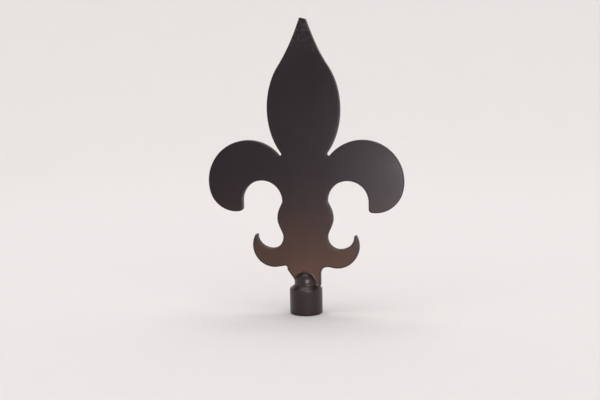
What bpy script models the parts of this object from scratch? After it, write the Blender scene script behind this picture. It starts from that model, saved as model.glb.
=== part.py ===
"""Lamp shade finial: a flat fleur-de-lis cut from steel sheet, standing in the slot of a small turned knob.

The knob is drilled and tapped from below for a 1/4-27 stud. Units are metres, +Z is up along the thread, +X is
to the right along the plate and -Y is the front. The origin is the centre of the knob's underside.
"""

import math

import bmesh
import bpy
from mathutils import Matrix, Vector

# Turned knob
FOOT_RADIUS = 0.0061
FOOT_HEIGHT = 0.0096
FOOT_CHAMFER = 0.0004
SHOULDER_RADIUS = 0.0004
SHOULDER_LEAN_ANGLE = 50.0
COVE_PULLS = (0.2, 0.3)
NECK_ANGLE = 3.0
BALL_RADIUS = 0.0043
KNOB_HEIGHT = 0.0159
BORE_DIAMETER = 0.00635
BORE_DEPTH = 0.0078
BORE_POINT = 0.0009
BORE_CHAMFER = 0.0004
KNOB_STEPS = 64

# Sheet and the fit of its tab in the knob's slot; the plate stands a little to the right of the knob's axis
PLATE_THICKNESS = 0.0030
PLATE_OFFSET = 0.0003
EDGE_ROUNDING = 0.0003
EDGE_ROUNDING_STEPS = 2
SLOT_CLEARANCE = 0.0003
SLOT_DEPTH = 0.0059
SLOT_CUT_LENGTH = 0.0240

# Tab, which is wider and cut off slanting on the left; widths are from the plate's middle
TAB_RIGHT_WIDTH = 0.0054
TAB_RIGHT_FILLET = 0.0030
TAB_RIGHT_CORNER = 0.0004
TAB_LEFT_WIDTH = 0.0070
TAB_LEFT_FILLET = 0.0008
TAB_CUT_WIDTH = 0.0044
TAB_CUT_HEIGHT = 0.0062
TAB_LENGTH = 0.0070

# Lower curls, above the underside and out from the middle
UNDERSIDE_SLOPE = 10.0
HORN_OUTER_RADIUS = 0.0082
HORN_REACH = 0.0201
HORN_END_ANGLE = 28.4
HORN_END_RADIUS = 0.0004
CROOK_RADIUS = 0.0045
WAIST_HALF_WIDTH = 0.0083
WAIST_RISE = 0.0115

# Stem
BEAD_HALF_WIDTH = 0.01045
BEAD_RISE = 0.0185
NECK_HALF_WIDTH = 0.00845
NECK_RISE = 0.0248
BEAD_UPPER_PULLS = (0.09, 0.47)
BEAD_LOWER_PULLS = (0.39, 0.25)

# Side arms
CURL_HOLE_RADIUS = 0.0077
ARM_RADIUS = 0.01525
ARM_CENTRE_OUT = 0.02145
ARM_CENTRE_RISE = 0.0322
ARM_END_RADIUS = 0.01015
ARM_TURN_ANGLE = -14.0
ARM_TIP_CORNER = 0.0013

# Petal
NOTCH_RADIUS = 0.00068
NOTCH_ANGLE = 140.6
PETAL_FOOT_LEAN = 36.9
PETAL_HALF_WIDTH = 0.01355
PETAL_WIDEST_RISE = 0.05885
PETAL_SHOULDER_HALF_WIDTH = 0.0091
PETAL_SHOULDER_RISE = 0.0745
PETAL_SHOULDER_LEAN = 34.0
TIP_RISE = 0.09165
TIP_HALF_WIDTH = 0.00115
TIP_SLANT = 0.0004
TIP_OFFSET = 0.0003
TIP_CORNER = 0.0004
TIP_CORNER_START = 80.0
TIP_LEAN = 19.7

# How finely curves are cut into facets, and how near two points are one point
FACET_LENGTH = 0.0011
FACET_ANGLE = 18.0
SAME_POINT = 0.00001
SAME_VERTEX = 0.000001
FACE_TILT_LIMIT = 0.99
CUT_EDGE_ANGLE = 60.0

TAB_SEAT = KNOB_HEIGHT - SLOT_DEPTH + SLOT_CLEARANCE
UNDERSIDE = TAB_SEAT + TAB_LENGTH


def facets(length, sweep):
    """How many facets a curve of this length and turning angle needs."""
    return max(math.ceil(length / FACET_LENGTH), math.ceil(abs(sweep) / FACET_ANGLE), 1)


def arc(centre, radius, start, end):
    """Points on a circle from one angle to another, in degrees."""
    count = facets(radius * math.radians(abs(end - start)), end - start)
    points = []
    for i in range(count + 1):
        angle = math.radians(start + (end - start) * i / count)
        points.append((centre[0] + radius * math.cos(angle), centre[1] + radius * math.sin(angle)))
    return points


def quarter(first, last, upright_first):
    """Points on a quarter of an ellipse, upright at one end and level at the other."""
    width = last[0] - first[0]
    height = last[1] - first[1]
    count = facets(math.hypot(width, height) * math.pi / math.sqrt(8), 90.0)
    points = []
    for i in range(count + 1):
        angle = math.pi / 2 * i / count
        if upright_first:
            points.append((first[0] + width * (1 - math.cos(angle)), first[1] + height * math.sin(angle)))
        else:
            points.append((first[0] + width * math.sin(angle), first[1] + height * (1 - math.cos(angle))))
    return points


def sweep(first, last, first_lean, last_lean, pulls=(1 / 3, 1 / 3)):
    """A cubic curve running down; a lean is its heading from straight down, outward positive, in degrees."""
    chord = math.dist(first, last)
    start = (math.sin(math.radians(first_lean)), -math.cos(math.radians(first_lean)))
    stop = (math.sin(math.radians(last_lean)), -math.cos(math.radians(last_lean)))
    handles = (
        first,
        (first[0] + start[0] * chord * pulls[0], first[1] + start[1] * chord * pulls[0]),
        (last[0] - stop[0] * chord * pulls[1], last[1] - stop[1] * chord * pulls[1]),
        last,
    )
    count = facets(chord, abs(first_lean) + abs(last_lean))
    points = []
    for i in range(count + 1):
        t = i / count
        weights = ((1 - t) ** 3, 3 * t * (1 - t) ** 2, 3 * t * t * (1 - t), t ** 3)
        points.append(tuple(sum(w * h[axis] for w, h in zip(weights, handles)) for axis in (0, 1)))
    return points


def polar(centre, radius, angle):
    """The point at a radius and an angle in degrees from a centre."""
    return (centre[0] + radius * math.cos(math.radians(angle)), centre[1] + radius * math.sin(math.radians(angle)))


def without_doubles(points):
    """The points with each one that repeats its neighbour left out."""
    kept = []
    for point in points:
        if not kept or math.dist(kept[-1], point) > SAME_POINT:
            kept.append(point)
    return kept


def petal_side(tip_drop, tip_shift):
    """One side of the petal, from its blunt tip down to the notch above the arm."""
    corner = (TIP_HALF_WIDTH + tip_shift - TIP_CORNER, UNDERSIDE + TIP_RISE - tip_drop - TIP_CORNER)
    shoulder = (PETAL_SHOULDER_HALF_WIDTH, UNDERSIDE + PETAL_SHOULDER_RISE)
    widest = (PETAL_HALF_WIDTH, UNDERSIDE + PETAL_WIDEST_RISE)
    arm_centre = (ARM_CENTRE_OUT, UNDERSIDE + ARM_CENTRE_RISE)
    notch = polar(arm_centre, ARM_RADIUS + NOTCH_RADIUS, NOTCH_ANGLE)
    notch_start = 180.0 - PETAL_FOOT_LEAN
    foot = polar(notch, NOTCH_RADIUS, notch_start)
    points = arc(corner, TIP_CORNER, TIP_CORNER_START, TIP_LEAN)
    points += sweep(points[-1], shoulder, TIP_LEAN, PETAL_SHOULDER_LEAN)
    points += sweep(shoulder, widest, PETAL_SHOULDER_LEAN, 0.0)
    points += sweep(widest, foot, 0.0, -PETAL_FOOT_LEAN)
    points += arc(notch, NOTCH_RADIUS, notch_start, NOTCH_ANGLE + 180.0)
    return points


def arm_side():
    """The upper curl: its back, its blunt end and the round opening under it."""
    centre = (ARM_CENTRE_OUT, UNDERSIDE + ARM_CENTRE_RISE)
    end_centre = polar(centre, ARM_RADIUS - ARM_END_RADIUS, ARM_TURN_ANGLE)
    hole = (NECK_HALF_WIDTH + CURL_HOLE_RADIUS, UNDERSIDE + NECK_RISE)
    corner_x = hole[0] + CURL_HOLE_RADIUS + ARM_TIP_CORNER
    reach = ARM_END_RADIUS - ARM_TIP_CORNER
    corner = (corner_x, end_centre[1] - math.sqrt(reach ** 2 - (corner_x - end_centre[0]) ** 2))
    turn = math.degrees(math.atan2(corner[1] - end_centre[1], corner[0] - end_centre[0]))
    points = arc(centre, ARM_RADIUS, NOTCH_ANGLE, ARM_TURN_ANGLE)
    points += arc(end_centre, ARM_END_RADIUS, ARM_TURN_ANGLE, turn)
    points += arc(corner, ARM_TIP_CORNER, turn, -180.0)
    points += arc(hole, CURL_HOLE_RADIUS, 0.0, 180.0)
    return points


def stem_side():
    """The stem between the two openings, with its bead."""
    neck = (NECK_HALF_WIDTH, UNDERSIDE + NECK_RISE)
    bead = (BEAD_HALF_WIDTH, UNDERSIDE + BEAD_RISE)
    waist = (WAIST_HALF_WIDTH, UNDERSIDE + WAIST_RISE)
    points = sweep(neck, bead, 0.0, 0.0, BEAD_UPPER_PULLS)
    points += sweep(bead, waist, 0.0, 0.0, BEAD_LOWER_PULLS)
    return points


def horn_side(tab_width, fillet):
    """The lower curl: its crook, end and back, and the underside rising to the inside corner at the tab."""
    waist = (WAIST_HALF_WIDTH, UNDERSIDE + WAIST_RISE)
    crook = (WAIST_HALF_WIDTH + CROOK_RADIUS, UNDERSIDE + WAIST_RISE - CROOK_RADIUS)
    centre = (HORN_REACH - HORN_OUTER_RADIUS, UNDERSIDE + HORN_OUTER_RADIUS)
    end = polar(centre, HORN_OUTER_RADIUS - HORN_END_RADIUS, HORN_END_ANGLE)
    points = quarter(waist, crook, True)
    points += quarter(crook, (end[0] - HORN_END_RADIUS, end[1]), False)
    points += arc(end, HORN_END_RADIUS, 180.0, HORN_END_ANGLE)
    points += arc(centre, HORN_OUTER_RADIUS, HORN_END_ANGLE, -90.0 - UNDERSIDE_SLOPE)
    slope = math.radians(UNDERSIDE_SLOPE)
    across = tab_width + fillet
    level = points[-1][1] + (points[-1][0] - across) * math.tan(slope) - fillet / math.cos(slope)
    points += arc((across, level), fillet, 90.0 - UNDERSIDE_SLOPE, 180.0)
    return points


def side(tip_drop, tip_shift, tab_width, fillet):
    """One half of the outline, drawn on the right, from the tip down to the top of the tab's side."""
    return petal_side(tip_drop, tip_shift) + arm_side() + stem_side() + horn_side(tab_width, fillet)


def plate_outline():
    """The whole closed outline, clockwise from the tip."""
    right = side(TIP_SLANT, TIP_OFFSET, TAB_RIGHT_WIDTH, TAB_RIGHT_FILLET)
    corner = (TAB_RIGHT_WIDTH - TAB_RIGHT_CORNER, TAB_SEAT + TAB_RIGHT_CORNER)
    right += arc(corner, TAB_RIGHT_CORNER, 0.0, -90.0)
    left = side(0.0, -TIP_OFFSET, TAB_LEFT_WIDTH, TAB_LEFT_FILLET)
    left.append((TAB_LEFT_WIDTH, TAB_SEAT + TAB_CUT_HEIGHT))
    left.append((TAB_LEFT_WIDTH - TAB_CUT_WIDTH, TAB_SEAT))
    around = without_doubles(right + [(-x, z) for x, z in reversed(left)])
    return [(x + PLATE_OFFSET, z) for x, z in around]


def material(name, colour, roughness):
    """A plain Principled material."""
    made = bpy.data.materials.new(name)
    made.use_nodes = True
    shader = made.node_tree.nodes["Principled BSDF"]
    shader.inputs["Base Color"].default_value = (*colour, 1.0)
    shader.inputs["Roughness"].default_value = roughness
    return made


def collection(name):
    """A collection in the scene."""
    made = bpy.data.collections.new(name)
    bpy.context.scene.collection.children.link(made)
    return made


def fleur_plate(parts):
    """The fleur-de-lis: a flat outline as thick as the sheet, with its cut edges rounded."""
    curve = bpy.data.curves.new("fleur_outline", "CURVE")
    curve.dimensions = "2D"
    curve.fill_mode = "BOTH"
    curve.extrude = PLATE_THICKNESS / 2
    outline = plate_outline()
    spline = curve.splines.new("POLY")
    spline.points.add(len(outline) - 1)
    for point, (x, z) in zip(spline.points, outline):
        point.co = (x, z, 0.0, 1.0)
    spline.use_cyclic_u = True
    drawn = bpy.data.objects.new("fleur_outline", curve)
    drawn.matrix_world = Matrix.Rotation(math.pi / 2, 4, "X")
    parts.objects.link(drawn)
    bpy.context.view_layer.update()

    mesh = bpy.data.meshes.new_from_object(drawn.evaluated_get(bpy.context.evaluated_depsgraph_get()))
    mesh.name = "fleur_plate"
    shape = bmesh.new()
    shape.from_mesh(mesh)
    bmesh.ops.remove_doubles(shape, verts=shape.verts, dist=SAME_VERTEX)
    for facing in (-1.0, 1.0):
        face = [f for f in shape.faces if f.normal.z * facing > FACE_TILT_LIMIT]
        bmesh.ops.dissolve_faces(shape, faces=face)
    shape.to_mesh(mesh)
    shape.free()

    plate = bpy.data.objects.new("fleur_plate", mesh)
    plate.matrix_world = drawn.matrix_world.copy()
    parts.objects.link(plate)
    bpy.data.objects.remove(drawn, do_unlink=True)
    bevel = plate.modifiers.new("cut edges", "BEVEL")
    bevel.width = EDGE_ROUNDING
    bevel.segments = EDGE_ROUNDING_STEPS
    bevel.limit_method = "ANGLE"
    bevel.angle_limit = math.radians(CUT_EDGE_ANGLE)
    plate.data.materials.append(material("black_powder_coat", (0.028, 0.025, 0.026), 0.45))
    return plate


def knob_profile():
    """Half the knob's section, from the ball's top down its outside and back up inside the bore."""
    shoulder = (FOOT_RADIUS - SHOULDER_RADIUS, FOOT_HEIGHT - SHOULDER_RADIUS)
    shoulder_top = polar(shoulder, SHOULDER_RADIUS, SHOULDER_LEAN_ANGLE)
    points = arc((0.0, KNOB_HEIGHT - BALL_RADIUS), BALL_RADIUS, 90.0, -NECK_ANGLE)
    points += sweep(points[-1], shoulder_top, -NECK_ANGLE, SHOULDER_LEAN_ANGLE, COVE_PULLS)
    points += arc(shoulder, SHOULDER_RADIUS, SHOULDER_LEAN_ANGLE, 0.0)
    points.append((FOOT_RADIUS, FOOT_CHAMFER))
    points.append((FOOT_RADIUS - FOOT_CHAMFER, 0.0))
    bore = BORE_DIAMETER / 2
    points.append((bore + BORE_CHAMFER, 0.0))
    points.append((bore, BORE_CHAMFER))
    points.append((bore, BORE_DEPTH))
    points.append((0.0, BORE_DEPTH + BORE_POINT))
    return [(max(x, 0.0), z) for x, z in without_doubles(points)]


def threaded_knob(parts, cutters):
    """The turned knob: foot, cove, ball, the slot sawn across it for the tab and the bore from below."""
    mesh = bpy.data.meshes.new("threaded_knob")
    profile = knob_profile()
    mesh.from_pydata([(x, 0.0, z) for x, z in profile], [(i, i + 1) for i in range(len(profile) - 1)], [])
    knob = bpy.data.objects.new("threaded_knob", mesh)
    parts.objects.link(knob)
    turned = knob.modifiers.new("turned", "SCREW")
    turned.steps = KNOB_STEPS
    turned.render_steps = KNOB_STEPS
    turned.use_merge_vertices = True
    turned.merge_threshold = SAME_POINT
    turned.use_smooth_shade = True

    width = PLATE_THICKNESS + 2 * SLOT_CLEARANCE
    floor = KNOB_HEIGHT - SLOT_DEPTH
    bpy.ops.mesh.primitive_cube_add(size=1.0)
    cutter = bpy.context.active_object
    cutter.name = "slot_cutter"
    cutter.data.transform(Matrix.Diagonal((SLOT_CUT_LENGTH, width, KNOB_HEIGHT, 1.0)))
    cutter.location = Vector((0.0, 0.0, floor + KNOB_HEIGHT / 2))
    cutter.hide_render = True
    cutter.display_type = "WIRE"
    for home in list(cutter.users_collection):
        home.objects.unlink(cutter)
    cutters.objects.link(cutter)
    slot = knob.modifiers.new("slot", "BOOLEAN")
    slot.operation = "DIFFERENCE"
    slot.solver = "EXACT"
    slot.object = cutter
    knob.data.materials.append(material("black_lacquered_brass", (0.018, 0.018, 0.02), 0.3))
    return knob


for item in list(bpy.data.objects):
    bpy.data.objects.remove(item, do_unlink=True)

finial = collection("lamp_shade_finial")
cutting_shapes = collection("cutting_shapes")
fleur_plate(finial)
threaded_knob(finial, cutting_shapes)
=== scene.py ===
"""Lamp shade finial: a flat steel fleur-de-lis, brazed into a small turned and tapped brass knob.

Lengths are metres. +Z is up along the knob's thread, +X is right along the plate and -Y is the front. The
origin is the centre of the knob's underside.
"""
import math

import bmesh
import bpy
from mathutils import Matrix, Vector, geometry, kdtree, noise


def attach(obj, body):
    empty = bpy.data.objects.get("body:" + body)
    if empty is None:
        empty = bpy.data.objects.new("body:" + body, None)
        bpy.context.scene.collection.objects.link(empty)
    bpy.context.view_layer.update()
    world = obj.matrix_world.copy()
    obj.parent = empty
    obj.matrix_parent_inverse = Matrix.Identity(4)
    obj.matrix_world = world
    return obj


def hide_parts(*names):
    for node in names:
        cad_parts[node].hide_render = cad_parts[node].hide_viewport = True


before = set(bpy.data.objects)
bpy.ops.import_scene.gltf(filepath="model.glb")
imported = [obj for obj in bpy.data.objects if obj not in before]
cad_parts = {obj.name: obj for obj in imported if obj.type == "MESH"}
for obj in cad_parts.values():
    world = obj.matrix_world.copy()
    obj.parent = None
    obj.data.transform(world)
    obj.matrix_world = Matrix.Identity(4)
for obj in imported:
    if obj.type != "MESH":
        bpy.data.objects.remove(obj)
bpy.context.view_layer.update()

# The knob is one small brass turning: a foot, a hollow neck and a ball. It is drilled and tapped from below
# for a 1/4-27 stud, and sawn across the ball to take the plate's tab. It carries a black lacquer, which the
# tap's bright thread is free of.
FOOT_RADIUS = 0.0061
FOOT_HEIGHT = 0.0096
FOOT_CHAMFER = 0.0004
SHOULDER_RADIUS = 0.0004
SHOULDER_LEAN_ANGLE = 50.0
NECK_PULLS = (0.2, 0.3)
NECK_ANGLE = 3.0
BALL_RADIUS = 0.0043
KNOB_HEIGHT = 0.0159
BORE_RADIUS = 0.003175
BORE_DEPTH = 0.0078
BORE_POINT = 0.0009
BORE_CHAMFER = 0.0004
THREAD_PITCH = 0.0254 / 27
THREAD_DEPTH = 0.5413 * THREAD_PITCH
THREAD_FLAT = 0.12
THREAD_RUN_OUT = 0.0009
KNOB_SEGMENTS = 144
KNOB_FACET = 0.00018
FOOT_ROW = 4 * KNOB_FACET
ARC_STEP_ANGLE = 9.0
SAME_POINT = 0.000005
THREAD_ROW = THREAD_PITCH / 10
PLATE_THICKNESS = 0.0030
SLOT_CLEARANCE = 0.0003
SLOT_DEPTH = 0.0059
SLOT_EDGE = 0.0001
SLOT_EDGE_STEPS = 2
SAW_REACH = 4 * FOOT_RADIUS
ON_SURFACE = 0.000002
CREASE = 35.0
WAVE_BAND = 0.314
TURNING_MARKS = 0.00025
LACQUER_RUNS = 0.0022
LACQUER_RELIEF = 0.00005
TAP_SCORING = 0.00015
TAP_RELIEF = 0.00001
BRASS_STAINS = 0.0016


def polar(centre, radius, angle):
    """The point at a radius and an angle in degrees from a centre."""
    turn = math.radians(angle)
    return (centre[0] + radius * math.cos(turn), centre[1] + radius * math.sin(turn))


def arc(centre, radius, start, end, facet):
    """Points on a circle from one angle to another in degrees, a facet apart."""
    turn = abs(end - start)
    count = max(math.ceil(radius * math.radians(turn) / facet), math.ceil(turn / ARC_STEP_ANGLE))
    return [polar(centre, radius, start + (end - start) * i / count) for i in range(count + 1)]


def sweep(first, last, first_lean, last_lean, facet, pulls=(1 / 3, 1 / 3)):
    """A cubic curve running down; a lean is its heading from straight down, outward positive, in degrees."""
    chord = math.dist(first, last)
    start = (math.sin(math.radians(first_lean)), -math.cos(math.radians(first_lean)))
    stop = (math.sin(math.radians(last_lean)), -math.cos(math.radians(last_lean)))
    handles = (
        first,
        (first[0] + start[0] * chord * pulls[0], first[1] + start[1] * chord * pulls[0]),
        (last[0] - stop[0] * chord * pulls[1], last[1] - stop[1] * chord * pulls[1]),
        last,
    )
    count = math.ceil(chord / facet)
    points = []
    for i in range(count + 1):
        t = i / count
        weights = ((1 - t) ** 3, 3 * t * (1 - t) ** 2, 3 * t * t * (1 - t), t ** 3)
        points.append(tuple(sum(w * h[axis] for w, h in zip(weights, handles)) for axis in (0, 1)))
    return points


def without_doubles(points):
    """The points with each one that repeats its neighbour left out."""
    kept = []
    for point in points:
        if not kept or math.dist(kept[-1], point) > SAME_POINT:
            kept.append(point)
    return kept


def knob_outside():
    """The knob's outer profile as (radius, height), from the ball's top down to the foot's underside."""
    shoulder = (FOOT_RADIUS - SHOULDER_RADIUS, FOOT_HEIGHT - SHOULDER_RADIUS)
    shoulder_top = polar(shoulder, SHOULDER_RADIUS, SHOULDER_LEAN_ANGLE)
    chamfer = (FOOT_RADIUS - FOOT_CHAMFER, FOOT_CHAMFER)
    points = arc((0.0, KNOB_HEIGHT - BALL_RADIUS), BALL_RADIUS, 90.0, -NECK_ANGLE, KNOB_FACET)
    points += sweep(points[-1], shoulder_top, -NECK_ANGLE, SHOULDER_LEAN_ANGLE, KNOB_FACET, NECK_PULLS)
    points += arc(shoulder, SHOULDER_RADIUS, SHOULDER_LEAN_ANGLE, 0.0, KNOB_FACET)
    rows = math.ceil((shoulder[1] - chamfer[1]) / FOOT_ROW)
    points += [(FOOT_RADIUS, shoulder[1] + (chamfer[1] - shoulder[1]) * i / rows) for i in range(1, rows)]
    points += arc(chamfer, FOOT_CHAMFER, 0.0, -90.0, KNOB_FACET)
    return without_doubles(points)


def thread_radius(height, angle):
    """The tapped bore's radius: a right-handed 60 degree thread, open at the mouth and run out inside."""
    turn = (height / THREAD_PITCH - angle / math.tau) % 1.0
    rise = (abs(2 * turn - 1) - THREAD_FLAT) / (1 - 2 * THREAD_FLAT)
    run_out = min((BORE_DEPTH - height) / THREAD_RUN_OUT, 1.0)
    crest = min(max(rise, 0.0), 1.0) * run_out
    groove = THREAD_DEPTH * (1 - crest) * run_out
    mouth = BORE_RADIUS + BORE_CHAMFER - height
    return max(BORE_RADIUS - THREAD_DEPTH + groove, mouth)


def knob_mesh():
    """The turned mesh: outer rows of one radius, then bore rows whose radius follows the thread."""
    outside = knob_outside()
    rows = [[radius] * KNOB_SEGMENTS for radius, height in outside[1:]]
    heights = [height for radius, height in outside[1:]]
    first_bore_row = len(rows)
    for i in range(math.ceil(BORE_DEPTH / THREAD_ROW) + 1):
        height = min(i * THREAD_ROW, BORE_DEPTH)
        rows.append([thread_radius(height, math.tau * k / KNOB_SEGMENTS) for k in range(KNOB_SEGMENTS)])
        heights.append(height)

    shape = bmesh.new()
    rings = []
    for row, height in zip(rows, heights):
        ring = []
        for k, radius in enumerate(row):
            angle = math.tau * k / KNOB_SEGMENTS
            ring.append(shape.verts.new((radius * math.cos(angle), radius * math.sin(angle), height)))
        rings.append(ring)
    for index, (upper, lower) in enumerate(zip(rings, rings[1:])):
        for k in range(KNOB_SEGMENTS):
            near = (k + 1) % KNOB_SEGMENTS
            face = shape.faces.new((upper[k], lower[k], lower[near], upper[near]))
            face.material_index = 1 if index >= first_bore_row else 0
    top = shape.verts.new((0.0, 0.0, outside[0][1]))
    drill_point = shape.verts.new((0.0, 0.0, BORE_DEPTH + BORE_POINT))
    for k in range(KNOB_SEGMENTS):
        near = (k + 1) % KNOB_SEGMENTS
        shape.faces.new((top, rings[0][k], rings[0][near]))
        shape.faces.new((drill_point, rings[-1][near], rings[-1][k])).material_index = 1
    mesh = bpy.data.meshes.new("threaded_knob_finish")
    shape.to_mesh(mesh)
    shape.free()
    return mesh


def soften(mesh, on_rim, width):
    """Rounds the sharp edges whose two ends are both on the rim asked for."""
    shape = bmesh.new()
    shape.from_mesh(mesh)
    bmesh.ops.remove_doubles(shape, verts=shape.verts, dist=ON_SURFACE)
    rim = [e for e in shape.edges if len(e.link_faces) == 2 and all(on_rim(v.co) for v in e.verts)
           and e.calc_face_angle() > math.radians(CREASE)]
    bmesh.ops.bevel(shape, geom=rim, offset=width, segments=SLOT_EDGE_STEPS, profile=0.5, affect="EDGES",
                    clamp_overlap=True)
    shape.to_mesh(mesh)
    shape.free()


def in_slot(point):
    """Whether a point is on a wall of the sawn slot."""
    return abs(abs(point.y) - PLATE_THICKNESS / 2 - SLOT_CLEARANCE) < ON_SURFACE


def linear(hex_code):
    """An sRGB hex colour as linear red, green, blue and alpha."""
    values = [int(hex_code[i:i + 2], 16) / 255 for i in (1, 3, 5)]
    return (*[v / 12.92 if v <= 0.04045 else ((v + 0.055) / 1.055) ** 2.4 for v in values], 1.0)


def new_material(name):
    """An empty node material and its shader."""
    made = bpy.data.materials.new(name)
    made.use_nodes = True
    return made, made.node_tree, made.node_tree.nodes["Principled BSDF"]


def add(tree, kind, inputs=None, **settings):
    """Adds a node with its settings; each input is a value or the socket that feeds it."""
    made = tree.nodes.new(kind)
    for name, value in settings.items():
        setattr(made, name, value)
    for name, value in (inputs or {}).items():
        if isinstance(value, bpy.types.NodeSocket):
            tree.links.new(value, made.inputs[name])
        else:
            made.inputs[name].default_value = value
    return made


def clothe(tree, shader, colour, roughness, bump):
    """Feeds a shader its colour, its roughness and its bumped surface."""
    tree.links.new(colour, shader.inputs["Base Color"])
    tree.links.new(roughness, shader.inputs["Roughness"])
    tree.links.new(bump.outputs["Normal"], shader.inputs["Normal"])


def black_lacquer_on_brass():
    """Dipped nitrocellulose lacquer, a brownish black: glossy, with faint runs and soft turning marks."""
    made, tree, shader = new_material("black_lacquer_on_turned_brass")
    place = add(tree, "ShaderNodeTexCoord").outputs["Object"]
    # Tool marks lie 0.09 mm apart on such a turning; they are drawn at 0.25 mm so that they show. One band
    # of the wave pattern is WAVE_BAND long at scale 1.
    marks = add(tree, "ShaderNodeTexWave", {"Vector": place, "Scale": WAVE_BAND / TURNING_MARKS,
                "Distortion": 0.6, "Detail": 1.0, "Detail Scale": 2.0}, bands_direction="Z",
                wave_profile="SIN")
    runs = add(tree, "ShaderNodeTexNoise", {"Vector": place, "Scale": 1 / LACQUER_RUNS, "Detail": 2.0})
    height = add(tree, "ShaderNodeMath", {0: marks.outputs["Fac"], 1: 0.12, 2: runs.outputs["Fac"]},
                 operation="MULTIPLY_ADD")
    bump = add(tree, "ShaderNodeBump", {"Height": height.outputs[0], "Distance": LACQUER_RELIEF,
               "Strength": 0.6})
    gloss = add(tree, "ShaderNodeMapRange", {"Value": runs.outputs["Fac"], "From Min": 0.3, "From Max": 0.7,
                "To Min": 0.3, "To Max": 0.38})
    tone = add(tree, "ShaderNodeMix", {0: runs.outputs["Fac"], 6: linear("#170708"), 7: linear("#200c0c")},
               data_type="RGBA")
    clothe(tree, shader, tone.outputs[2], gloss.outputs[0], bump)
    shader.inputs["IOR"].default_value = 1.51
    return made


def tapped_brass():
    """Free-cutting brass where the tap has cut it: bright metal with fine scoring round the thread."""
    made, tree, shader = new_material("tapped_brass")
    place = add(tree, "ShaderNodeTexCoord").outputs["Object"]
    # The tap scores the flanks every 0.05 mm or so; the marks are drawn at 0.15 mm.
    score = add(tree, "ShaderNodeTexNoise", {"Vector": place, "Scale": 1 / TAP_SCORING, "Detail": 2.0})
    stain = add(tree, "ShaderNodeTexNoise", {"Vector": place, "Scale": 1 / BRASS_STAINS, "Detail": 3.0})
    tone = add(tree, "ShaderNodeMix", {0: stain.outputs["Fac"], 6: linear("#8a6a35"), 7: linear("#d2ad6a")},
               data_type="RGBA")
    rough = add(tree, "ShaderNodeMapRange", {"Value": score.outputs["Fac"], "To Min": 0.22, "To Max": 0.42})
    bump = add(tree, "ShaderNodeBump", {"Height": score.outputs["Fac"], "Distance": TAP_RELIEF,
               "Strength": 0.5})
    clothe(tree, shader, tone.outputs[2], rough.outputs[0], bump)
    shader.inputs["Metallic"].default_value = 1.0
    return made


def sawn_knob():
    """The turned mesh with the slot sawn through its ball and the slot's lips softened."""
    turned = bpy.data.objects.new("turned_blank", knob_mesh())
    bpy.context.scene.collection.objects.link(turned)
    bpy.ops.mesh.primitive_cube_add(size=1.0)
    saw = bpy.context.active_object
    saw.data.transform(Matrix.Diagonal((SAW_REACH, PLATE_THICKNESS + 2 * SLOT_CLEARANCE, KNOB_HEIGHT, 1.0)))
    saw.location.z = KNOB_HEIGHT - SLOT_DEPTH + KNOB_HEIGHT / 2
    cut = turned.modifiers.new("slot", "BOOLEAN")
    cut.operation = "DIFFERENCE"
    cut.solver = "EXACT"
    cut.object = saw
    mesh = bpy.data.meshes.new_from_object(turned.evaluated_get(bpy.context.evaluated_depsgraph_get()))
    for helper in (turned, saw):
        bpy.data.objects.remove(helper, do_unlink=True)
    soften(mesh, in_slot, SLOT_EDGE)
    mesh.name = "threaded_knob_finish"
    return mesh


def finished(name, mesh, *materials):
    """A piece in its materials, smooth but for its true creases."""
    mesh.materials.clear()
    for material in materials:
        mesh.materials.append(material)
    mesh.shade_smooth()
    mesh.set_sharp_from_angle(angle=math.radians(CREASE))
    piece = bpy.data.objects.new(name, mesh)
    bpy.context.scene.collection.objects.link(piece)
    return piece


lacquer = black_lacquer_on_brass()
knob = finished("threaded_knob_finish", sawn_knob(), lacquer, tapped_brass())
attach(knob, "root")
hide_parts("threaded_knob")

# The plate is the fleur-de-lis itself, cut from 3 mm mild steel sheet in one piece with its tab. The cut
# edges keep faint drag lines and are broken with a file, and the whole plate is powder coated satin black.
PLATE_OFFSET = 0.0003
EDGE_ROUNDING = 0.0003
TAB_RIGHT_WIDTH = 0.0054
TAB_RIGHT_FILLET = 0.0030
TAB_RIGHT_CORNER = 0.0004
TAB_LEFT_WIDTH = 0.0070
TAB_LEFT_FILLET = 0.0008
TAB_CUT_WIDTH = 0.0044
TAB_CUT_HEIGHT = 0.0062
TAB_CUT_ROUNDING = 0.0004
TAB_LENGTH = 0.0070
UNDERSIDE_SLOPE = 10.0
HORN_OUTER_RADIUS = 0.0082
HORN_REACH = 0.0201
HORN_END_ANGLE = 28.4
HORN_END_RADIUS = 0.0004
CROOK_RADIUS = 0.0045
WAIST_HALF_WIDTH = 0.0083
WAIST_RISE = 0.0115
BEAD_HALF_WIDTH = 0.01045
BEAD_RISE = 0.0185
NECK_HALF_WIDTH = 0.00845
NECK_RISE = 0.0248
BEAD_UPPER_PULLS = (0.09, 0.47)
BEAD_LOWER_PULLS = (0.39, 0.25)
CURL_HOLE_RADIUS = 0.0077
ARM_RADIUS = 0.01525
ARM_CENTRE_OUT = 0.02145
ARM_CENTRE_RISE = 0.0322
ARM_END_RADIUS = 0.01015
ARM_TURN_ANGLE = -14.0
ARM_TIP_CORNER = 0.0013
NOTCH_RADIUS = 0.00068
NOTCH_ANGLE = 140.6
PETAL_FOOT_LEAN = 36.9
PETAL_HALF_WIDTH = 0.01355
PETAL_WIDEST_RISE = 0.05885
PETAL_SHOULDER_HALF_WIDTH = 0.0091
PETAL_SHOULDER_RISE = 0.0745
PETAL_SHOULDER_LEAN = 34.0
TIP_RISE = 0.09165
TIP_HALF_WIDTH = 0.00115
TIP_SLANT = 0.0004
TIP_OFFSET = 0.0003
TIP_CORNER = 0.0004
TIP_SLOPE = math.degrees(math.atan2(TIP_SLANT, 2 * (TIP_HALF_WIDTH - TIP_CORNER)))
TIP_LEAN = 19.7
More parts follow.
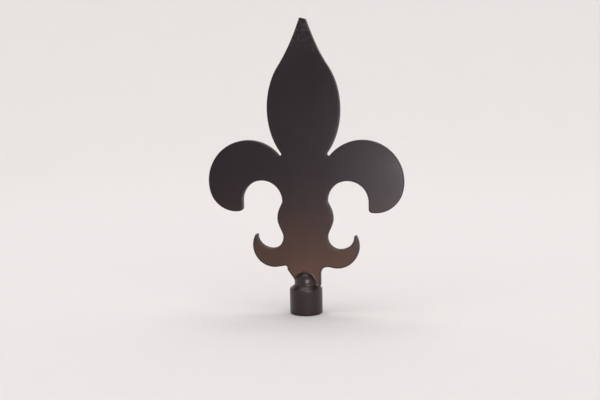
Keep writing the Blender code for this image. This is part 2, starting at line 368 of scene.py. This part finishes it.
TAB_SEAT = KNOB_HEIGHT - SLOT_DEPTH + SLOT_CLEARANCE
UNDERSIDE = TAB_SEAT + TAB_LENGTH
PLATE_FACET = 0.0002
QUARTER_OVER_CHORD = 1.11
MITRE_LIMIT = 0.5
FACE_GRID = 0.00046
RING_CLEARANCE = 0.7
TINY = 1e-9
EDGE_ROUNDING_STEPS = 4
EDGE_WALL_STEPS = 4
ORANGE_PEEL_LENGTH = 0.0021
ORANGE_PEEL_DEPTH = 0.000007
DRAG_LINE_SPACING = 0.0009
DRAG_LINE_DEPTH = 0.000018
DRAG_LINE_LAG = 0.5
DRAG_LINE_WANDER = 4 * DRAG_LINE_SPACING
DRAG_LINE_SEED = 3.1
WORN_WIDTH = 0.0007
FACE_WEAR = 0.5
EDGE_WEAR = 0.35
TIP_WORN_LENGTH = 0.014
TIP_WEAR = 0.58
PEEL_WIDTH = 0.0013
POWDER_GRAIN = 0.0002
COAT_CLOUDS = 0.012
COAT_RELIEF = 0.00002
DUST_COVER = 0.28


def quarter(first, last, upright_first):
    """Points on a quarter of an ellipse, upright at one end and level at the other."""
    width = last[0] - first[0]
    height = last[1] - first[1]
    count = math.ceil(math.hypot(width, height) * QUARTER_OVER_CHORD / PLATE_FACET)
    points = []
    for i in range(count + 1):
        angle = math.pi / 2 * i / count
        if upright_first:
            points.append((first[0] + width * (1 - math.cos(angle)), first[1] + height * math.sin(angle)))
        else:
            points.append((first[0] + width * math.sin(angle), first[1] + height * (1 - math.cos(angle))))
    return points


def straight(first, last):
    """Points along a straight edge, a facet apart."""
    count = max(round(math.dist(first, last) / PLATE_FACET), 1)
    return [tuple(a + (b - a) * i / count for a, b in zip(first, last)) for i in range(count + 1)]


def rounded(before, corner, after, radius):
    """The arc that rounds a corner between two straight edges."""
    first = Vector(before) - Vector(corner)
    second = Vector(after) - Vector(corner)
    half_angle = first.angle(second) / 2
    middle = (first.normalized() + second.normalized()).normalized()
    centre = Vector(corner) + middle * radius / math.sin(half_angle)
    turn = math.pi - 2 * half_angle
    facing = math.atan2(-middle.y, -middle.x)
    count = max(math.ceil(math.degrees(turn) / ARC_STEP_ANGLE), 2)
    angles = [facing + turn * (0.5 - i / count) for i in range(count + 1)]
    return [(centre.x + radius * math.cos(a), centre.y + radius * math.sin(a)) for a in angles]


def petal_side(tip_drop, tip_shift, tip_start):
    """One side of the petal, from its blunt tip down to the notch above the arm."""
    corner = (TIP_HALF_WIDTH + tip_shift - TIP_CORNER, UNDERSIDE + TIP_RISE - tip_drop - TIP_CORNER)
    shoulder = (PETAL_SHOULDER_HALF_WIDTH, UNDERSIDE + PETAL_SHOULDER_RISE)
    widest = (PETAL_HALF_WIDTH, UNDERSIDE + PETAL_WIDEST_RISE)
    arm_centre = (ARM_CENTRE_OUT, UNDERSIDE + ARM_CENTRE_RISE)
    notch = polar(arm_centre, ARM_RADIUS + NOTCH_RADIUS, NOTCH_ANGLE)
    notch_start = 180.0 - PETAL_FOOT_LEAN
    foot = polar(notch, NOTCH_RADIUS, notch_start)
    points = arc(corner, TIP_CORNER, tip_start, TIP_LEAN, PLATE_FACET)
    points += sweep(points[-1], shoulder, TIP_LEAN, PETAL_SHOULDER_LEAN, PLATE_FACET)
    points += sweep(shoulder, widest, PETAL_SHOULDER_LEAN, 0.0, PLATE_FACET)
    points += sweep(widest, foot, 0.0, -PETAL_FOOT_LEAN, PLATE_FACET)
    points += arc(notch, NOTCH_RADIUS, notch_start, NOTCH_ANGLE + 180.0, PLATE_FACET)
    return points


def arm_side():
    """The upper curl: its back, its blunt end and the round opening under it."""
    centre = (ARM_CENTRE_OUT, UNDERSIDE + ARM_CENTRE_RISE)
    end_centre = polar(centre, ARM_RADIUS - ARM_END_RADIUS, ARM_TURN_ANGLE)
    hole = (NECK_HALF_WIDTH + CURL_HOLE_RADIUS, UNDERSIDE + NECK_RISE)
    corner_x = hole[0] + CURL_HOLE_RADIUS + ARM_TIP_CORNER
    reach = ARM_END_RADIUS - ARM_TIP_CORNER
    corner = (corner_x, end_centre[1] - math.sqrt(reach ** 2 - (corner_x - end_centre[0]) ** 2))
    turn = math.degrees(math.atan2(corner[1] - end_centre[1], corner[0] - end_centre[0]))
    points = arc(centre, ARM_RADIUS, NOTCH_ANGLE, ARM_TURN_ANGLE, PLATE_FACET)
    points += arc(end_centre, ARM_END_RADIUS, ARM_TURN_ANGLE, turn, PLATE_FACET)
    points += arc(corner, ARM_TIP_CORNER, turn, -180.0, PLATE_FACET)
    points += arc(hole, CURL_HOLE_RADIUS, 0.0, 180.0, PLATE_FACET)
    return points


def stem_side():
    """The stem between the two openings, with its bead."""
    neck = (NECK_HALF_WIDTH, UNDERSIDE + NECK_RISE)
    bead = (BEAD_HALF_WIDTH, UNDERSIDE + BEAD_RISE)
    waist = (WAIST_HALF_WIDTH, UNDERSIDE + WAIST_RISE)
    points = sweep(neck, bead, 0.0, 0.0, PLATE_FACET, BEAD_UPPER_PULLS)
    points += sweep(bead, waist, 0.0, 0.0, PLATE_FACET, BEAD_LOWER_PULLS)
    return points


def horn_side(tab_width, fillet):
    """The lower curl: its crook, end and back, and the underside rising to the inside corner at the tab."""
    waist = (WAIST_HALF_WIDTH, UNDERSIDE + WAIST_RISE)
    crook = (WAIST_HALF_WIDTH + CROOK_RADIUS, UNDERSIDE + WAIST_RISE - CROOK_RADIUS)
    centre = (HORN_REACH - HORN_OUTER_RADIUS, UNDERSIDE + HORN_OUTER_RADIUS)
    end = polar(centre, HORN_OUTER_RADIUS - HORN_END_RADIUS, HORN_END_ANGLE)
    points = quarter(waist, crook, True)
    points += quarter(crook, (end[0] - HORN_END_RADIUS, end[1]), False)
    points += arc(end, HORN_END_RADIUS, 180.0, HORN_END_ANGLE, PLATE_FACET)
    points += arc(centre, HORN_OUTER_RADIUS, HORN_END_ANGLE, -90.0 - UNDERSIDE_SLOPE, PLATE_FACET)
    slope = math.radians(UNDERSIDE_SLOPE)
    across = tab_width + fillet
    level = points[-1][1] + (points[-1][0] - across) * math.tan(slope) - fillet / math.cos(slope)
    corner = arc((across, level), fillet, 90.0 - UNDERSIDE_SLOPE, 180.0, PLATE_FACET)
    return points + straight(points[-1], corner[0]) + corner


def side(tip_drop, tip_shift, tip_start, tab_width, fillet):
    """Half the outline, drawn on the right, from the tip down to the top of the tab's straight edge."""
    points = petal_side(tip_drop, tip_shift, tip_start) + arm_side() + stem_side()
    return points + horn_side(tab_width, fillet)


def plate_outline():
    """The whole closed outline, clockwise from the tip."""
    square = (TAB_RIGHT_WIDTH - TAB_RIGHT_CORNER, TAB_SEAT + TAB_RIGHT_CORNER)
    right = side(TIP_SLANT, TIP_OFFSET, 90.0 - TIP_SLOPE, TAB_RIGHT_WIDTH, TAB_RIGHT_FILLET)
    right += straight(right[-1], (TAB_RIGHT_WIDTH, square[1]))
    right += arc(square, TAB_RIGHT_CORNER, 0.0, -90.0, PLATE_FACET)
    cut_top = (TAB_LEFT_WIDTH, TAB_SEAT + TAB_CUT_HEIGHT)
    cut_foot = (TAB_LEFT_WIDTH - TAB_CUT_WIDTH, TAB_SEAT)
    left = side(0.0, -TIP_OFFSET, 90.0 + TIP_SLOPE, TAB_LEFT_WIDTH, TAB_LEFT_FILLET)
    upper = rounded(left[-1], cut_top, cut_foot, TAB_CUT_ROUNDING)
    lower = rounded(cut_top, cut_foot, (0.0, TAB_SEAT), TAB_CUT_ROUNDING)
    left += straight(left[-1], upper[0]) + upper + straight(upper[-1], lower[0]) + lower
    left = [(-x, z) for x, z in reversed(left)]
    points = without_doubles(right + straight(right[-1], left[0]) + left + straight(left[-1], right[0]))
    return [(x + PLATE_OFFSET, z) for x, z in points[:-1]]


def inward(points):
    """For each outline point, the way into the plate, as long as keeps straight edges parallel."""
    ways = []
    for i, (x, z) in enumerate(points):
        before = Vector((x, z)) - Vector(points[i - 1])
        after = Vector(points[(i + 1) % len(points)]) - Vector((x, z))
        first = Vector((before.y, -before.x)).normalized()
        second = Vector((after.y, -after.x)).normalized()
        middle = (first + second).normalized()
        ways.append(middle / max(middle.dot(first), MITRE_LIMIT))
    return ways


def edge_section():
    """Across the thickness: how far each row is set in from the outline, its place in Y and its wear."""
    half = PLATE_THICKNESS / 2
    rows = []
    for i in range(EDGE_ROUNDING_STEPS + 1):
        angle = math.pi / 2 * i / EDGE_ROUNDING_STEPS
        inset = EDGE_ROUNDING * (1 - math.sin(angle))
        rows.append((inset, -half + EDGE_ROUNDING * (1 - math.cos(angle)), math.sin(2 * angle) ** 2))
    flat = half - EDGE_ROUNDING
    wall = [(0.0, -flat + 2 * flat * i / EDGE_WALL_STEPS, 0.0) for i in range(1, EDGE_WALL_STEPS)]
    return rows + wall + [(inset, -y, wear) for inset, y, wear in reversed(rows)]


def drag_line(distance, depth_share):
    """How far the cutting jet's drag lines dip the wall; they lag behind towards the back."""
    phase = distance / DRAG_LINE_SPACING + DRAG_LINE_LAG * depth_share ** 2
    wander = noise.noise(Vector((distance / DRAG_LINE_WANDER, DRAG_LINE_SEED, 0.0)))
    return DRAG_LINE_DEPTH * (0.5 + 0.5 * math.sin(math.tau * (phase + wander)))


def orange_peel(x, y, z):
    """The coat's gentle swell at a point of a face."""
    return ORANGE_PEEL_DEPTH * noise.noise(Vector((x, y, z)) / ORANGE_PEEL_LENGTH)


def face_points(ring):
    """Points on a triangular grid inside the ring, clear of it, for the plate's two faces."""
    near_ring = kdtree.KDTree(len(ring))
    for i, (x, z) in enumerate(ring):
        near_ring.insert((x, z, 0.0), i)
    near_ring.balance()
    pitch = FACE_GRID * math.sqrt(3) / 2
    low = min(z for x, z in ring)
    reach = max(x for x, z in ring)
    inside = []
    for j in range(math.ceil((max(z for x, z in ring) - low) / pitch)):
        for i in range(-math.ceil(reach / FACE_GRID), math.ceil(reach / FACE_GRID) + 1):
            place = ((i + 0.5 * (j % 2)) * FACE_GRID, low + j * pitch)
            if near_ring.find((*place, 0.0))[2] > RING_CLEARANCE * FACE_GRID:
                inside.append(place)
    return inside, near_ring


def plate_mesh():
    """The plate: two triangulated faces with the coat's swell, joined by rows that round the cut edge."""
    outline = plate_outline()
    ways = inward(outline)
    half = PLATE_THICKNESS / 2
    run = [0.0]
    for a, b in zip(outline, outline[1:]):
        run.append(run[-1] + math.dist(a, b))

    places, worn, faces = [], [], []
    section = edge_section()
    count = len(outline)
    for inset, y, wear in section:
        on_wall = max(1.0 - inset / EDGE_ROUNDING, 0.0)
        for (x, z), way, distance in zip(outline, ways, run):
            dip = inset + on_wall * drag_line(distance, (y + half) / PLATE_THICKNESS)
            places.append((x + way.x * dip, y, z + way.y * dip))
            worn.append(wear)
    for row in range(len(section) - 1):
        for i in range(count):
            a, b = row * count + i, row * count + (i + 1) % count
            faces.append((a, b, b + count, a + count))

    ring = [(x + way.x * EDGE_ROUNDING, z + way.y * EDGE_ROUNDING) for (x, z), way in zip(outline, ways)]
    inside, near_ring = face_points(ring)
    flat = [Vector(place) for place in ring + inside]
    found = geometry.delaunay_2d_cdt(flat, [], [list(range(count))], 1, TINY)
    source = [ids[0] for ids in found[3]]
    triangles = [[source[v] for v in face] for face in found[2]]
    for front in (True, False):
        y = -half if front else half
        first = 0 if front else (len(section) - 1) * count
        own = {}
        for triangle in triangles:
            corners = []
            for v in triangle:
                if v < count:
                    corners.append(first + v)
                    continue
                if v not in own:
                    own[v] = len(places)
                    x, z = inside[v - count]
                    depth = near_ring.find((x, z, 0.0))[2]
                    places.append((x, y + orange_peel(x, y, z) * min(depth / WORN_WIDTH, 1.0), z))
                    worn.append(math.exp(-depth / WORN_WIDTH) * FACE_WEAR)
                corners.append(own[v])
            faces.append(corners if front else corners[::-1])

    mesh = bpy.data.meshes.new("fleur_plate_finish")
    mesh.from_pydata(places, [], faces)
    mesh.update()
    mesh.attributes.new("edge_wear", "FLOAT", "POINT").data.foreach_set("value", worn)
    return mesh


def satin_powder_coat():
    """Baked polyester powder, satin black: a soft sheen, orange peel, thin and grey on worn edges."""
    made, tree, shader = new_material("satin_black_powder_coat")
    place = add(tree, "ShaderNodeTexCoord").outputs["Object"]
    worn = add(tree, "ShaderNodeAttribute", attribute_name="edge_wear").outputs["Fac"]
    facing = add(tree, "ShaderNodeSeparateXYZ", {0: add(tree, "ShaderNodeNewGeometry").outputs["Normal"]})
    height = add(tree, "ShaderNodeSeparateXYZ", {0: place}).outputs["Z"]
    # Orange peel is 1 to 2 mm across, and the powder's own grain 0.05 mm, which is drawn at 0.2 mm.
    peel = add(tree, "ShaderNodeTexNoise", {"Vector": place, "Scale": 1 / PEEL_WIDTH, "Detail": 1.0})
    grain = add(tree, "ShaderNodeTexNoise", {"Vector": place, "Scale": 1 / POWDER_GRAIN, "Detail": 1.0})
    cloud = add(tree, "ShaderNodeTexNoise", {"Vector": place, "Scale": 1 / COAT_CLOUDS, "Detail": 3.0})
    swell = add(tree, "ShaderNodeMath", {0: grain.outputs["Fac"], 1: 0.12, 2: peel.outputs["Fac"]},
                operation="MULTIPLY_ADD")
    bump = add(tree, "ShaderNodeBump", {"Height": swell.outputs[0], "Distance": COAT_RELIEF,
               "Strength": 0.7})
    sheen = add(tree, "ShaderNodeMapRange", {"Value": cloud.outputs["Fac"], "From Min": 0.3, "From Max": 0.7,
                "To Min": 0.4, "To Max": 0.5})
    coat = add(tree, "ShaderNodeMix", {0: cloud.outputs["Fac"], 6: linear("#11060e"), 7: linear("#170b12")},
               data_type="RGBA")
    tip = add(tree, "ShaderNodeMapRange", {"Value": height, "To Max": TIP_WEAR,
              "From Min": UNDERSIDE + TIP_RISE - TIP_WORN_LENGTH, "From Max": UNDERSIDE + TIP_RISE})
    rubbed = add(tree, "ShaderNodeMath", {0: worn, 1: EDGE_WEAR, 2: tip.outputs[0]},
                 operation="MULTIPLY_ADD")
    patches = add(tree, "ShaderNodeMapRange", {"Value": peel.outputs["Fac"], "From Min": 0.45,
                  "From Max": 0.6})
    rub = add(tree, "ShaderNodeMath", {0: rubbed.outputs[0], 1: patches.outputs[0]}, operation="MULTIPLY",
              use_clamp=True)
    bare = add(tree, "ShaderNodeMix", {0: rub.outputs[0], 6: coat.outputs[2], 7: linear("#403c3c")},
               data_type="RGBA")
    # House dust settles on what faces up: a thin warm grey film that also dulls the sheen.
    lying = add(tree, "ShaderNodeMapRange", {"Value": facing.outputs["Z"], "From Min": 0.25,
                "From Max": 1.0})
    film = add(tree, "ShaderNodeMath", {0: lying.outputs[0], 1: cloud.outputs["Fac"]}, operation="MULTIPLY")
    dust = add(tree, "ShaderNodeMath", {0: film.outputs[0], 1: DUST_COVER}, operation="MULTIPLY")
    tone = add(tree, "ShaderNodeMix", {0: dust.outputs[0], 6: bare.outputs[2], 7: linear("#8d857c")},
               data_type="RGBA")
    dulled = add(tree, "ShaderNodeMath", {0: dust.outputs[0], 1: sheen.outputs[0]}, operation="ADD",
                 use_clamp=True)
    clothe(tree, shader, tone.outputs[2], dulled.outputs[0], bump)
    shader.inputs["IOR"].default_value = 1.5
    shader.inputs["Specular IOR Level"].default_value = 0.38
    return made


plate = finished("fleur_plate_finish", plate_mesh(), satin_powder_coat())
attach(plate, "root")
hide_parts("fleur_plate")

# The joint is a bead of brazing alloy run round the tab where it enters the ball: up both faces and under
# the tab's foot. It was brushed clean, and took the same lacquer as the knob.
BRAZE_LEG = 0.0005
BRAZE_SINK = 0.00005
BRAZE_WANDER = 0.25
BRAZE_WAVE = 0.0016
BRAZE_FACES = 5
BRAZE_SEED = 7.0
BRAZE_ROOT = 3
SEAT_STEPS = 10
CORNER_SHARPNESS = 4
PROFILE_STEP = 0.00002
HALVINGS = 30
DOWN = Vector((0.0, 0.0, -1.0))


def knob_radius(height):
    """The knob's outer radius at a height."""
    profile = knob_outside()
    for (r0, z0), (r1, z1) in zip(profile, profile[1:]):
        if z1 <= height <= z0:
            return r0 + (r1 - r0) * (z0 - height) / max(z0 - z1, TINY)
    return 0.0


def knob_normal(point):
    """The way out of the knob's surface at a point on it."""
    slope = (knob_radius(point.z + PROFILE_STEP) - knob_radius(point.z - PROFILE_STEP)) / (2 * PROFILE_STEP)
    return Vector((point.x, point.y, -slope * math.hypot(point.x, point.y))).normalized()


def leaves_knob(first, last, y):
    """Where a straight lower edge of the tab comes out of the knob, at a depth y."""
    inner, outer = 0.0, 1.0
    for _ in range(HALVINGS):
        middle = (inner + outer) / 2
        x, z = (a + (b - a) * middle for a, b in zip(first, last))
        if math.hypot(x, y) < knob_radius(z):
            inner = middle
        else:
            outer = middle
    return Vector((x, y, z))


def tab_cut():
    """The tab's slanting cut: its foot and its top as (x, height), and the way out below it."""
    foot = (PLATE_OFFSET + TAB_CUT_WIDTH - TAB_LEFT_WIDTH, TAB_SEAT)
    top = (PLATE_OFFSET - TAB_LEFT_WIDTH, TAB_SEAT + TAB_CUT_HEIGHT)
    way = Vector((top[0] - foot[0], 0.0, top[1] - foot[1])).normalized()
    return foot, top, Vector((-way.z, 0.0, way.x))


def braze_path():
    """The loop where the tab meets the knob: each point with the way out of the tab's surface there."""
    half = PLATE_THICKNESS / 2
    seat_right = ((PLATE_OFFSET, TAB_SEAT), (PLATE_OFFSET + TAB_RIGHT_WIDTH, TAB_SEAT))
    cut_foot, cut_top, below_cut = tab_cut()
    over = [(r, z) for r, z in knob_outside() if r > half]
    crown = KNOB_HEIGHT - BALL_RADIUS + math.sqrt(BALL_RADIUS ** 2 - half ** 2)
    loop = []
    for face in (-1.0, 1.0):
        out = Vector((0.0, face, 0.0))
        right_end = leaves_knob(*seat_right, half).z + EDGE_ROUNDING
        left_end = leaves_knob(cut_foot, cut_top, half).z + EDGE_ROUNDING
        right = [(math.sqrt(r * r - half * half), z) for r, z in over if z > right_end]
        left = [(-math.sqrt(r * r - half * half), z) for r, z in over if z > left_end]
        climb = [(Vector((x, face * half, z)), out) for x, z in reversed(right)]
        climb.append((Vector((0.0, face * half, crown)), out))
        climb += [(Vector((x, face * half, z)), out) for x, z in left]
        loop += climb if face < 0 else climb[::-1]
        lines, below = ((cut_foot, cut_top), below_cut) if face < 0 else (seat_right, DOWN)
        for i in range(SEAT_STEPS + 1):
            y = face * half * math.cos(math.pi * i / SEAT_STEPS)
            corner = abs(math.cos(math.pi * i / SEAT_STEPS)) ** CORNER_SHARPNESS
            side_out = Vector((0.0, math.copysign(1.0, y), 0.0))
            loop.append((leaves_knob(*lines, y), (below * (1 - corner) + side_out * corner).normalized()))
    return loop


def held_to_tab(point):
    """A point of the bead's upper edge, drawn back to the tab's seat or cut where it would pass it."""
    (x, z), _, below_cut = tab_cut()
    for way_out in (below_cut, DOWN):
        point = point - way_out * max((point - Vector((x, point.y, z))).dot(way_out), 0.0)
    return point


def braze_mesh():
    """The bead: a hollow-faced fillet swept round the loop, as a closed ring."""
    path = braze_path()
    shape = bmesh.new()
    rings = []
    run = 0.0
    for i, (point, tab_out) in enumerate(path):
        run += (point - path[i - 1][0]).length if i else 0.0
        knob_out = knob_normal(point)
        up_tab = (knob_out - tab_out * knob_out.dot(tab_out)).normalized()
        along_knob = (tab_out - knob_out * tab_out.dot(knob_out)).normalized()
        leg = BRAZE_LEG * (1 + BRAZE_WANDER * noise.noise(Vector((run / BRAZE_WAVE, 0.0, BRAZE_SEED))))
        toe = held_to_tab(point + up_tab * leg - tab_out * BRAZE_SINK)
        heel = point + along_knob * leg - knob_out * BRAZE_SINK
        ring = [shape.verts.new(point - (tab_out + knob_out) * BRAZE_SINK * BRAZE_ROOT)]
        for k in range(BRAZE_FACES + 1):
            t = k / BRAZE_FACES
            ring.append(shape.verts.new(toe * (1 - t) ** 2 + point * 2 * t * (1 - t) + heel * t * t))
        rings.append(ring)
    for ring, following in zip(rings, rings[1:] + rings[:1]):
        for k in range(len(ring)):
            near = (k + 1) % len(ring)
            shape.faces.new((ring[k], ring[near], following[near], following[k]))
    bmesh.ops.recalc_face_normals(shape, faces=shape.faces)
    mesh = bpy.data.meshes.new("brazed_joint")
    shape.to_mesh(mesh)
    shape.free()
    return mesh


joint = finished("brazed_joint", braze_mesh(), lacquer)
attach(joint, "root")

# Where it stands for the picture: a round cove of matte white paper, flat under the knob. Its wall stands
# close behind and at both sides, and swings far out to the front, where the lights and the viewer are.
BACK_FLAT = 0.6
BACK_BEND = 0.5
BACK_HEIGHT = 1.8
FRONT_FLAT = 2.0
FRONT_BEND = 0.8
FRONT_HEIGHT = 1.4
SWING_START = 90.0
SWING_END = 125.0
COVE_FLAT_ROWS = 4
COVE_BEND_ROWS = 24
COVE_WALL_ROWS = 4
COVE_SPOKES = 144
FLOOR_LEVEL = -0.00002
PAPER_FIBRE = 0.003


def cove_section(flat, bend, height):
    """The paper from the middle outwards, as (distance, height): flat, then a round bend, then the wall."""
    rows = [(flat * i / COVE_FLAT_ROWS, FLOOR_LEVEL) for i in range(1, COVE_FLAT_ROWS)]
    for i in range(COVE_BEND_ROWS + 1):
        rows.append(polar((flat, FLOOR_LEVEL + bend), bend, 90.0 * i / COVE_BEND_ROWS - 90.0))
    for i in range(1, COVE_WALL_ROWS + 1):
        rows.append((flat + bend, FLOOR_LEVEL + bend + (height - bend) * i / COVE_WALL_ROWS))
    return rows


def backdrop_cove():
    """The paper as one smooth sheet, drawn on spokes from the middle of the floor."""
    behind = cove_section(BACK_FLAT, BACK_BEND, BACK_HEIGHT)
    before = cove_section(FRONT_FLAT, FRONT_BEND, FRONT_HEIGHT)
    places = [(0.0, 0.0, FLOOR_LEVEL)]
    for k in range(COVE_SPOKES):
        turn = 360.0 * k / COVE_SPOKES
        swing = (min(turn, 360.0 - turn) - SWING_START) / (SWING_END - SWING_START)
        swing = min(max(swing, 0.0), 1.0)
        swing = swing * swing * (3 - 2 * swing)
        for near, far in zip(behind, before):
            out, height = (a + (b - a) * swing for a, b in zip(near, far))
            places.append((out * math.sin(math.radians(turn)), out * math.cos(math.radians(turn)), height))
    faces = []
    rows = len(behind)
    for k in range(COVE_SPOKES):
        a, b = 1 + k * rows, 1 + (k + 1) % COVE_SPOKES * rows
        faces.append((0, b, a))
        faces += [(a + i, b + i, b + i + 1, a + i + 1) for i in range(rows - 1)]
    mesh = bpy.data.meshes.new("paper_cove")
    mesh.from_pydata(places, [], faces)
    mesh.shade_smooth()
    return mesh


def matte_paper():
    """Uncoated backdrop paper: even, pale and quite without gloss."""
    made, tree, shader = new_material("matte_backdrop_paper")
    place = add(tree, "ShaderNodeTexCoord").outputs["Object"]
    fibre = add(tree, "ShaderNodeTexNoise", {"Vector": place, "Scale": 1 / PAPER_FIBRE, "Detail": 3.0})
    tone = add(tree, "ShaderNodeMix", {0: fibre.outputs["Fac"], 6: linear("#e6e3e2"), 7: linear("#e9e6e5")},
               data_type="RGBA")
    tree.links.new(tone.outputs[2], shader.inputs["Base Color"])
    shader.inputs["Roughness"].default_value = 0.95
    shader.inputs["Specular IOR Level"].default_value = 0.2
    return made


paper = bpy.data.objects.new("paper_cove", backdrop_cove())
paper.data.materials.append(matte_paper())
bpy.context.scene.collection.objects.link(paper)

# Light: a broad soft key from the right, a weaker fill from the left and one light over the paper. A small
# one close in front of the right arm lights the finial alone. A warm spot lays a glow on the plate's foot,
# which fades upwards.
AIM = Vector((0.0, 0.0, 0.05))
LIGHTS = (
    ("key", (0.85, -1.05, 0.55), (1.2, 0.7), 3.1, "#fff4f2", ()),
    ("fill", (-1.1, -0.75, 0.5), (0.8, 0.8), 1.55, "#fff0f4", ()),
    ("paper_light", (0.0, 0.15, 1.5), (1.2, 1.2), 11.8, "#fdffff", ()),
    ("arm_light", (0.043, -0.09, 0.042), (0.04, 0.04), 0.063, "#fff6fa", (plate, knob, joint)),
)
GLOW_PLACE = Vector((-0.05, -0.40, 0.02))
GLOW_AIM = Vector((0.0, 0.0, -0.08))
GLOW_POOL_RADIUS = 0.132
GLOW_POWER = 11.2
GLOW_SOFTNESS = 0.02
AMBIENT = 0.55


def hang(light, place, aim, power, hex_code, lit):
    """Hangs a light turned towards a point; it shines on all there is, or only on the pieces named."""
    light.energy = power
    light.color = linear(hex_code)[:3]
    hung = bpy.data.objects.new(light.name, light)
    hung.location = place
    hung.rotation_euler = (aim - Vector(place)).to_track_quat("-Z", "Y").to_euler()
    hung.visible_camera = False
    bpy.context.scene.collection.objects.link(hung)
    if lit:
        hung.light_linking.receiver_collection = bpy.data.collections.new(light.name + "_receivers")
        for piece in lit:
            hung.light_linking.receiver_collection.objects.link(piece)


for name, place, size, power, hex_code, lit in LIGHTS:
    soft_box = bpy.data.lights.new(name, "AREA")
    soft_box.shape = "RECTANGLE"
    soft_box.size, soft_box.size_y = size
    hang(soft_box, place, AIM, power, hex_code, lit)
glow = bpy.data.lights.new("glow", "SPOT")
glow.spot_blend = 1.0
glow.spot_size = 2 * math.atan(GLOW_POOL_RADIUS / (GLOW_AIM - GLOW_PLACE).length)
glow.shadow_soft_size = GLOW_SOFTNESS
hang(glow, GLOW_PLACE, GLOW_AIM, GLOW_POWER, "#ffb681", (plate,))
world = bpy.data.worlds.new("room")
world.use_nodes = True
world.node_tree.nodes["Background"].inputs["Color"].default_value = linear("#f4f2f2")
world.node_tree.nodes["Background"].inputs["Strength"].default_value = AMBIENT
bpy.context.scene.world = world
bpy.context.scene.view_settings.view_transform = "Standard"

# The camera stands 0.37 m off, a little to the right of the finial and a little above it, and leans by one
# degree, as the picture was taken.
VIEW_CENTRE = Vector((-0.00165, 0.0, 0.04254))
VIEW_DISTANCE = 0.365
VIEW_AZIMUTH = math.radians(13.147)
VIEW_ELEVATION = math.radians(7.639)
VIEW_ROLL = math.radians(-1.151)
FOCAL_LENGTH = 59.19
SENSOR_WIDTH = 36.0
NEAR_LIMIT = 0.01

away = Vector((math.sin(VIEW_AZIMUTH) * math.cos(VIEW_ELEVATION),
               -math.cos(VIEW_AZIMUTH) * math.cos(VIEW_ELEVATION),
               math.sin(VIEW_ELEVATION)))
lens = bpy.data.cameras.new("camera")
lens.lens = FOCAL_LENGTH
lens.sensor_width = SENSOR_WIDTH
lens.clip_start = NEAR_LIMIT
camera = bpy.data.objects.new("camera", lens)
level = away.to_track_quat("Z", "Y").to_matrix().to_4x4()
camera.matrix_world = (Matrix.Translation(VIEW_CENTRE + away * VIEW_DISTANCE) @ level
                       @ Matrix.Rotation(VIEW_ROLL, 4, "Z"))
bpy.context.scene.collection.objects.link(camera)
bpy.context.scene.camera = camera
